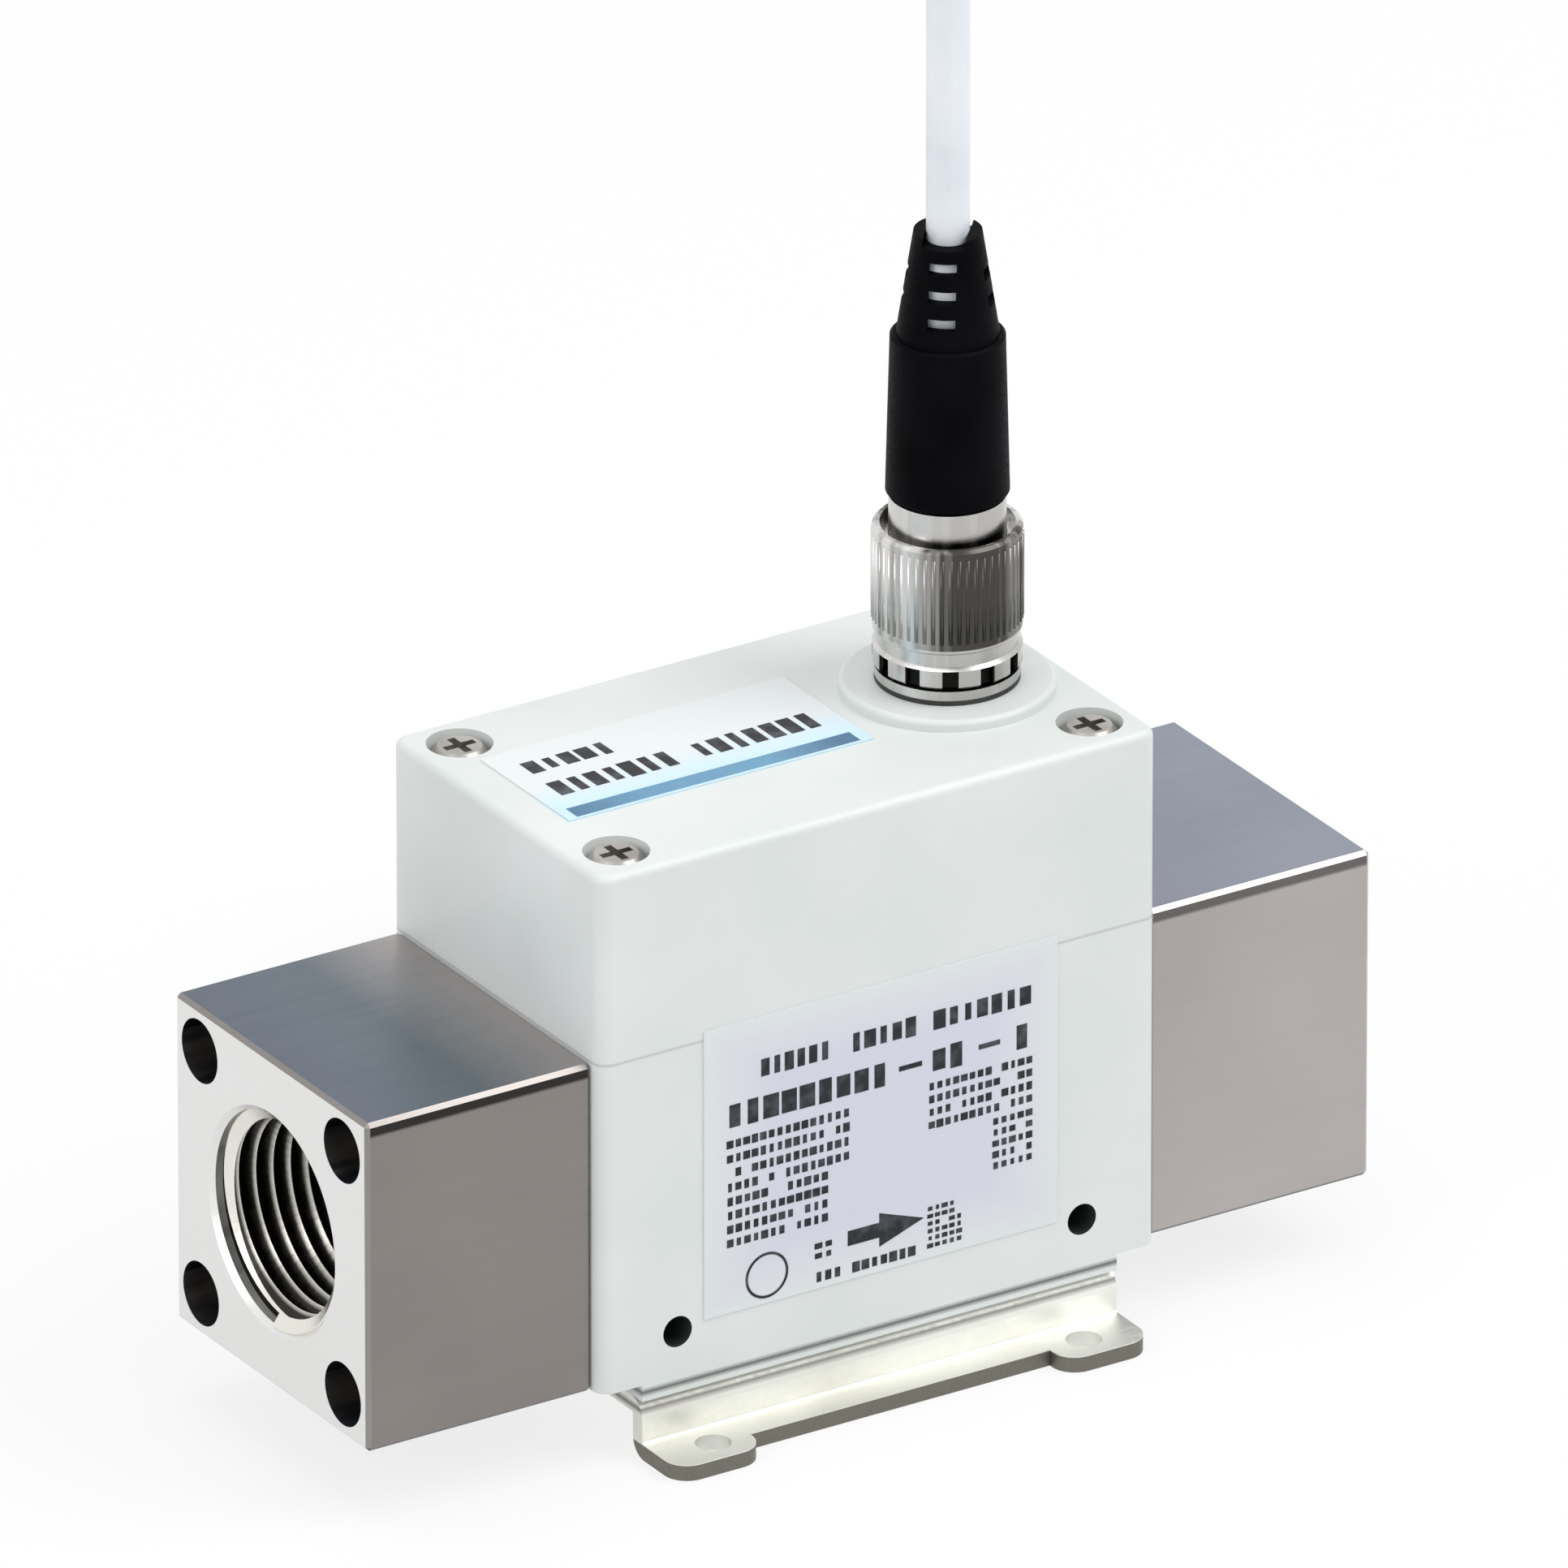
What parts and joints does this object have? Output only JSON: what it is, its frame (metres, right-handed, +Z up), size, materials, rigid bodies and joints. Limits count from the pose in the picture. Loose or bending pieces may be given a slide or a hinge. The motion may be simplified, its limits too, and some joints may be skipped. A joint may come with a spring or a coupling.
{
  "type": "digital flow switch",
  "caption": "Inline water flow switch: white moulded housing between two square metal end blocks with taper-threaded ports, a sheet-metal mounting bracket and a cable plugged into its top.",
  "frame": {"origin": "middle of the bracket's underside, below the middle of the housing", "axes": "+X along the flow from the inlet port to the outlet port, +Y away from the face with the label, +Z up"},
  "size_m": [0.1117, 0.1088, 0.1689],
  "materials": {
    "housing_resin": "satin",
    "block_metal": "fine matt machined",
    "bracket_metal": "satin",
    "screw_steel": "satin",
    "insert_brass": "satin",
    "nickel": "satin",
    "seal_rubber": "matt",
    "inner_resin": "matt",
    "sensor_resin": "matt",
    "board": "satin",
    "gold_contact": "polished",
    "plug_black": "satin",
    "cable_sheath": "satin",
    "core_brown": "satin",
    "core_white": "satin",
    "core_blue": "satin",
    "core_black": "satin",
    "tinned_copper": "satin",
    "front_print": "satin",
    "top_print": "satin"
  },
  "bodies": {
    "root": {"housing": "housing_resin", "top_cover": "housing_resin", "cover_gasket": "seal_rubber", "cover_screws": "screw_steel", "cover_inserts": "insert_brass", "inlet_block": "block_metal", "outlet_block": "block_metal", "inlet_block_screws": "screw_steel", "outlet_block_screws": "screw_steel", "block_inserts": "insert_brass", "inlet_o_ring": "seal_rubber", "outlet_o_ring": "seal_rubber", "flow_straightener": "sensor_resin", "vortex_bar": "sensor_resin", "piezo_sensor": "sensor_resin", "sensor_seal": "seal_rubber", "sensor_clamp": "bracket_metal", "clamp_screws": "screw_steel", "sensor_leads": "gold_contact", "circuit_board": "board", "board_components": "inner_resin", "board_screws": "screw_steel", "connector_receptacle": "nickel", "receptacle_seal": "seal_rubber", "receptacle_nut": "nickel", "receptacle_insert": "inner_resin", "receptacle_pins": "gold_contact", "coupling_nut": "nickel", "plug_collar": "nickel", "plug_gasket": "seal_rubber", "plug_insert": "inner_resin", "plug_contacts": "gold_contact", "plug_body": "plug_black", "cable": "cable_sheath", "cable_coil": "cable_sheath", "cable_tail": "cable_sheath", "core_brown": "core_brown", "core_white": "core_white", "core_blue": "core_blue", "core_black": "core_black", "core_tips": "tinned_copper", "bracket": "bracket_metal", "bracket_screws": "screw_steel", "bracket_inserts": "insert_brass", "front_label": "front_print", "top_label": "top_print"}
  },
  "joints": []
}
